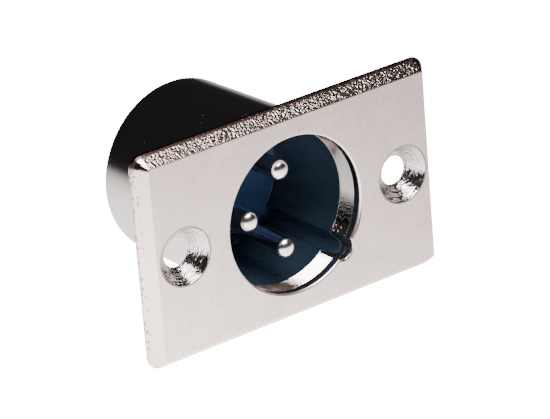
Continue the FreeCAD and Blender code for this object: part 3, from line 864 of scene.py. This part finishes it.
def buildInsert(sizes):
    bm = bmesh.new()
    angles = roundAngles(*sizes["angles"])
    rings = columnRings([insertColumn(sizes, angle) for angle in angles], angles)
    addStrips(bm, rings)
    floor = sizes["floor"]
    rear = sizes["rear"]
    small = sizes["boreSmall"]
    large = sizes["boreLarge"]
    bore = softLine([(small + sizes["floorRing"], floor, 0), (small, floor, sizes["floorRound"]),
                     (small, sizes["boreStep"], 0), (large, sizes["boreStep"], 0),
                     (large, rear, sizes["rearRound"]), (large + sizes["rearRing"], rear, 0)])
    fronts = [rings[0]]
    rears = [rings[-1]]
    for angle in sizes["pinAngles"]:
        x, _, z = polar(sizes["pinPitch"], angle, 0)
        boreRings = turnedRings(bore, evenAngles(48), (x, z))
        addStrips(bm, boreRings)
        fronts.append(boreRings[0])
        rears.append(boreRings[-1])
    fillBetween(bm, fronts, (0, -1, 0))
    fillBetween(bm, rears, (0, 1, 0))
    insert = finishMesh(bm, "insertCup")
    half = sizes["tagSlot"]
    inner = sizes["tagSlotInner"]
    outer = sizes["tagSlotOuter"]
    steps = sizes["tagSlotSteps"]
    turns = [math.degrees(math.asin(half * step / steps / inner)) for step in range(-steps, steps + 1)]
    block = []
    for along in (sizes["tagSlotFront"], rear + 1):
        arc = [polar(inner, turn, along) for turn in turns]
        block.append(arc + [(outer, along, half), (outer, along, -half)])
    cutAway(insert, makeCutter(block, "tagSlotCutter"))
    lockRings = [uprightRing(sizes["lockHole"], sizes["lockY"], height) for height in sizes["lockSpan"]]
    cutAway(insert, makeCutter(lockRings, "lockSeatCutter"))
    smoothShade(insert)
    print("insert moulded:", len(insert.data.polygons), "faces")
    return insert


navyLook = {                    # spans in mm
    "wall": (0.020, 0.034, 0.054, 1), "wallCloud": (0.023, 0.039, 0.062, 1),
    # the floor colour is painted light, a lighter blue where the cup's floor is lit
    "floor": (0.042, 0.086, 0.215, 1), "shade": (0.007, 0.014, 0.022, 1),
    # the shade colour above and these spans paint shade near the mouth and on the lower right wall
    "floorY": (13.15, 13.5, 0.04), "frontY": (0.5, 6.0), "frontShare": 0.8,
    "lowZ": (-8.5, -6.0), "lowX": (-2.0, 3.0), "lowShare": 0.4,
    "fineness": 2.0, "skinGrain": 3.0, "rough": 0.14, "pitRough": 0.06, "ior": 1.45,
    "bumpStrength": 0.35, "bumpDepth": 0.00002,
}


def makeNavy(look):
    material = emptyMaterial("navyMoulding")
    tree = material.node_tree
    place = objectPlace(tree)
    x, y, z = splitPlace(tree, place)
    grain = useGroup(tree, satinGrain, Place=place, Fineness=look["fineness"])
    skin = useGroup(tree, castSkin, Place=place, Grain=look["skinGrain"])
    tint = blend(tree, grain.outputs["Tone"], look["wall"], look["wallCloud"])
    # painted light: a lighter blue on the cup's floor
    tint = blend(tree, between(tree, y, *look["floorY"]), tint, look["floor"])
    # painted shade: darker near the mouth and on the lower right wall of the cup
    front = spread(tree, y, *look["frontY"], look["frontShare"], 0)
    low = times(tree, spread(tree, z, *look["lowZ"], look["lowShare"], 0), spread(tree, x, *look["lowX"]))
    tint = blend(tree, calc(tree, "MAXIMUM", front, low), tint, look["shade"])
    level = calc(tree, "ADD", look["rough"], times(tree, skin.outputs["Pits"], look["pitRough"]))
    finishMaterial(tree, tint, level, skin.outputs["Height"], look["bumpStrength"], look["bumpDepth"],
                   IOR=look["ior"])
    return material


navyMoulding = makeNavy(navyLook)
dress(buildInsert(insertSizes), navyMoulding, "moulded_insert", "insert")


# Contacts: one turned pin, set three times on its circle

contactSizes = {                # mm and degrees
    "tip": -0.25, "tipDome": 0.9, "domeSteps": 14, "pinRadius": 1.2, "pinMiddle": 7.0, "pinEnd": 13.3,
    "pinRound": 0.02, "pinSlope": 0.2,
    "shankRadius": 1.4, "shankFront": 0.05, "shankEnd": 15.0, "shankRear": 0.03,
    "collarRadius": 1.7, "collarEnd": 16.2, "collarRound": 0.08, "collarFoot": 0.04,
    "cupRadius": 1.5, "cupEnd": 23.7, "cupBore": 1.05, "cupRound": 0.1, "cupFloor": 19.5, "cupCone": 0.35,
    "scoopStart": 20.5, "scoopHeight": 0.35, "scoopEnd": 24.5, "scoopHalf": 2, "scoopTop": 2.4,
    "pitch": 4.76, "count": 3, "firstAngle": 90.0, "turn": 90.0,
}


def buildPin(sizes):
    bm = bmesh.new()
    radius = sizes["pinRadius"]
    dome = sizes["tipDome"]
    line = []
    for step in range(sizes["domeSteps"] + 1):
        turn = math.radians(90 * step / sizes["domeSteps"])
        line.append((radius * math.sin(turn), sizes["tip"] + dome - dome * math.cos(turn)))
    shank = sizes["shankRadius"]
    collar = sizes["collarRadius"]
    soft = sizes["cupRound"]
    line += softLine([(radius, sizes["pinMiddle"], 0), (radius, sizes["pinEnd"], sizes["pinRound"]),
                      (shank, sizes["pinEnd"] + sizes["pinSlope"], sizes["shankFront"]),
                      (shank, sizes["shankEnd"], sizes["shankRear"]),
                      (collar, sizes["shankEnd"], sizes["collarRound"]),
                      (collar, sizes["collarEnd"], sizes["collarRound"]),
                      (sizes["cupRadius"], sizes["collarEnd"], sizes["collarFoot"]),
                      (sizes["cupRadius"], sizes["cupEnd"], soft), (sizes["cupBore"], sizes["cupEnd"], soft),
                      (sizes["cupBore"], sizes["cupFloor"], soft),
                      (0, sizes["cupFloor"] + sizes["cupCone"], 0)])
    addStrips(bm, turnedRings(line, evenAngles(36)))
    pin = finishMesh(bm, "contactPins")
    low = sizes["scoopHeight"]
    start = sizes["scoopStart"]
    end = sizes["scoopEnd"]
    top = sizes["scoopTop"]
    outline = [(low, end), (low, start + 1.1), (low + 0.25, start + 0.55), (1.85, start - 0.05),
               (top, start - 0.05), (top, end)]
    sides = (-sizes["scoopHalf"], sizes["scoopHalf"])
    rings = [[(across, along, side) for across, along in outline] for side in sides]
    cutAway(pin, makeCutter(rings, "scoopCutter"))
    smoothShade(pin, 35)
    return pin


def setRound(pin, sizes, material):
    # a small Geometry Nodes tree that sets copies of the pin round the part's axis
    tree = bpy.data.node_groups.new("pinsRound", "GeometryNodeTree")
    tree.interface.new_socket("Geometry", in_out="INPUT", socket_type="NodeSocketGeometry")
    values = {"Count": ("NodeSocketInt", sizes["count"]),
              "Circle Radius": ("NodeSocketFloat", sizes["pitch"] * mm),
              "First Angle": ("NodeSocketFloat", math.radians(sizes["firstAngle"])),
              "Turn": ("NodeSocketFloat", math.radians(sizes["turn"]))}
    sockets = {}
    for label, (kind, value) in values.items():
        sockets[label] = tree.interface.new_socket(label, in_out="INPUT", socket_type=kind).identifier
    tree.interface.new_socket("Geometry", in_out="OUTPUT", socket_type="NodeSocketGeometry")
    start = addNode(tree, "NodeGroupInput")
    end = addNode(tree, "NodeGroupOutput")
    index = addNode(tree, "GeometryNodeInputIndex")
    angle = calc(tree, "ADD", times(tree, index.outputs[0], start.outputs["Turn"]),
                 start.outputs["First Angle"])
    across = times(tree, calc(tree, "COSINE", angle), start.outputs["Circle Radius"])
    upward = times(tree, calc(tree, "SINE", angle), start.outputs["Circle Radius"])
    place = addNode(tree, "ShaderNodeCombineXYZ")
    feed(tree, across, place.inputs["X"])
    feed(tree, upward, place.inputs["Z"])
    points = addNode(tree, "GeometryNodePoints")
    feed(tree, start.outputs["Count"], points.inputs["Count"])
    feed(tree, place.outputs[0], points.inputs["Position"])
    turn = addNode(tree, "ShaderNodeCombineXYZ")
    feed(tree, times(tree, angle, -1.0), turn.inputs["Y"])
    copies = addNode(tree, "GeometryNodeInstanceOnPoints")
    feed(tree, points.outputs[0], copies.inputs["Points"])
    feed(tree, start.outputs["Geometry"], copies.inputs["Instance"])
    feed(tree, turn.outputs[0], copies.inputs["Rotation"])
    real = addNode(tree, "GeometryNodeRealizeInstances")
    feed(tree, copies.outputs[0], real.inputs[0])
    finish = addNode(tree, "GeometryNodeSetMaterial")
    finish.inputs["Material"].default_value = material
    feed(tree, real.outputs[0], finish.inputs["Geometry"])
    feed(tree, finish.outputs[0], end.inputs["Geometry"])
    modifier = pin.modifiers.new("pinsRound", "NODES")
    modifier.node_group = tree
    for label, identifier in sockets.items():
        modifier[identifier] = values[label][1]
    settle(pin)
    print("contacts set:", len(pin.data.polygons), "faces")
    return pin


pinLook = {
    "tint": (0.80, 0.765, 0.745, 1), "tintWorn": (0.70, 0.66, 0.63, 1), "speckTint": (0.45, 0.41, 0.40, 1),
    "fineness": 4.0, "specks": {"Scale": 3.0, "Size": 0.12},
    "tipY": (0.3, 0.9), "tipRough": 0.2, "shaftRough": 0.04, "grainRough": 0.04,
    "bumpStrength": 0.4, "bumpDepth": 0.00001,
}


def makeBrightPins(look):
    material = emptyMaterial("brightPins")
    tree = material.node_tree
    place = objectPlace(tree)
    grain = useGroup(tree, satinGrain, Place=place, Fineness=look["fineness"])
    specks = useGroup(tree, straySpecks, Place=place, **look["specks"])
    tint = blend(tree, grain.outputs["Tone"], look["tint"], look["tintWorn"])
    tint = blend(tree, specks.outputs["Mask"], tint, look["speckTint"])
    shaft = spread(tree, splitPlace(tree, place)["Y"], *look["tipY"], look["tipRough"], look["shaftRough"])
    level = calc(tree, "ADD", shaft, times(tree, grain.outputs["Height"], look["grainRough"]))
    finishMaterial(tree, tint, level, grain.outputs["Height"], look["bumpStrength"], look["bumpDepth"],
                   Metallic=1.0)
    return material


brightPins = makeBrightPins(pinLook)
dress(setRound(buildPin(contactSizes), contactSizes, brightPins), brightPins, "contact_metal",
      "contact_top", "contact_left", "contact_bottom")


# Earth tag: a tinned strip bent to the insert, with a solder eye behind it

tagSizes = {                    # mm
    "inner": 9.02, "outer": 9.42, "halfWidth": 1.6, "tailHalf": 1.1, "front": 14.6, "shoulder": 19.2,
    "rear": 24.2, "eyeRadius": 0.55, "eyeY": 22.9, "edge": 0.06,
}


def buildTag(sizes):
    bm = bmesh.new()
    half = sizes["halfWidth"]
    tail = sizes["tailHalf"]
    neck = sizes["shoulder"]
    middle = sizes["rear"] - tail
    shoulder = [(half, neck - 0.5), (half - 0.1, neck - 0.15), (tail + 0.1, neck), (tail, neck + 0.15)]
    outline = [(half * step / 8, sizes["front"]) for step in range(-8, 9)] + shoulder
    for step in range(13):
        turn = math.radians(180 * step / 12)
        outline.append((tail * math.cos(turn), middle + tail * math.sin(turn)))
    outline += [(-across, along) for across, along in reversed(shoulder)]
    eyeTurns = [math.radians(angle) for angle in range(0, 360, 15)]
    eye = [(sizes["eyeRadius"] * math.cos(turn), sizes["eyeY"] + sizes["eyeRadius"] * math.sin(turn))
           for turn in eyeTurns]

    def bent(radius, across, along):
        return polar(radius, math.degrees(math.asin(across / radius)), along)

    soft = sizes["edge"]
    inner = []
    outer = []
    for loop, grow in ((outline, -1), (eye, 1)):
        centre = Vector((sum(point[0] for point in loop), sum(point[1] for point in loop))) / len(loop)
        rings = []
        for radius, inward in ((sizes["inner"], soft), (sizes["inner"] + soft, 0),
                               (sizes["outer"] - soft, 0), (sizes["outer"], soft)):
            ring = []
            for across, along in loop:
                toward = (Vector((across, along)) - centre).normalized() * inward * grow
                ring.append(bent(radius, across + toward.x, along + toward.y))
            rings.append(ring)
        addStrips(bm, rings)
        inner.append(rings[0])
        outer.append(rings[-1])
    fillBetween(bm, inner, (-1, 0, 0))
    fillBetween(bm, outer, (1, 0, 0))
    tag = finishMesh(bm, "earthTag")
    smoothShade(tag, 35)
    print("earth tag bent:", len(tag.data.polygons), "faces")
    return tag


def makePlainMetal(name, look):
    material = emptyMaterial(name)
    tree = material.node_tree
    place = objectPlace(tree)
    grain = useGroup(tree, satinGrain, Place=place, Fineness=look["fineness"])
    height = grain.outputs["Height"]
    if "skinGrain" in look:
        height = useGroup(tree, castSkin, Place=place, Grain=look["skinGrain"]).outputs["Height"]
    tint = blend(tree, grain.outputs["Tone"], look["tint"], look["tintCloud"])
    level = calc(tree, "ADD", look["rough"], times(tree, height, look["unevenRough"]))
    finishMaterial(tree, tint, level, height, look["bumpStrength"], look["bumpDepth"], Metallic=1.0)
    return material


tinnedLook = {
    "tint": (0.62, 0.62, 0.60, 1), "tintCloud": (0.50, 0.50, 0.49, 1), "fineness": 3.0, "skinGrain": 1.6,
    "rough": 0.3, "unevenRough": 0.15, "bumpStrength": 0.5, "bumpDepth": 0.00004,
}


tinnedStrip = makePlainMetal("tinnedStrip", tinnedLook)
dress(buildTag(tagSizes), tinnedStrip, "tinned_strip", "earth_tag")


# Lock screw: headless, slotted, in the barrel's underside

screwSizes = {                  # mm
    "radius": 1.25, "outer": -10.125, "inner": -7.825, "y": 16.2, "chamfer": 0.2,
    "slotWidth": 0.5, "slotDepth": 0.7, "slotRound": 0.05, "slotHalf": 2,
}


def buildScrew(sizes):
    bm = bmesh.new()
    radius = sizes["radius"]
    chamfer = sizes["chamfer"]
    line = softLine([(0, sizes["outer"], 0), (radius - chamfer, sizes["outer"], 0.05),
                     (radius, sizes["outer"] + chamfer, 0.05), (radius, sizes["inner"], 0.08),
                     (0, sizes["inner"], 0)])
    addStrips(bm, [uprightRing(reach, sizes["y"], height) for reach, height in line])
    screw = finishMesh(bm, "lockScrew")
    half = sizes["slotWidth"] / 2
    top = sizes["outer"] + sizes["slotDepth"]
    below = sizes["outer"] - 0.5
    soft = sizes["slotRound"]
    slot = [(-half, top - soft), (-half + soft, top), (half - soft, top), (half, top - soft),
            (half + 0.01, below), (-half - 0.01, below)]
    sides = (-sizes["slotHalf"], sizes["slotHalf"])
    rings = [[(side, sizes["y"] + across, height) for across, height in slot] for side in sides]
    cutAway(screw, makeCutter(rings, "slotCutter"))
    smoothShade(screw, 35)
    print("lock screw turned:", len(screw.data.polygons), "faces")
    return screw


steelLook = {
    "tint": (0.52, 0.51, 0.49, 1), "tintCloud": (0.40, 0.39, 0.37, 1), "fineness": 5.0,
    "rough": 0.25, "unevenRough": 0.15, "bumpStrength": 0.5, "bumpDepth": 0.00002,
}

screwSteel = makePlainMetal("screwSteel", steelLook)
dress(buildScrew(screwSizes), screwSteel, "plated_screw", "lock_screw")
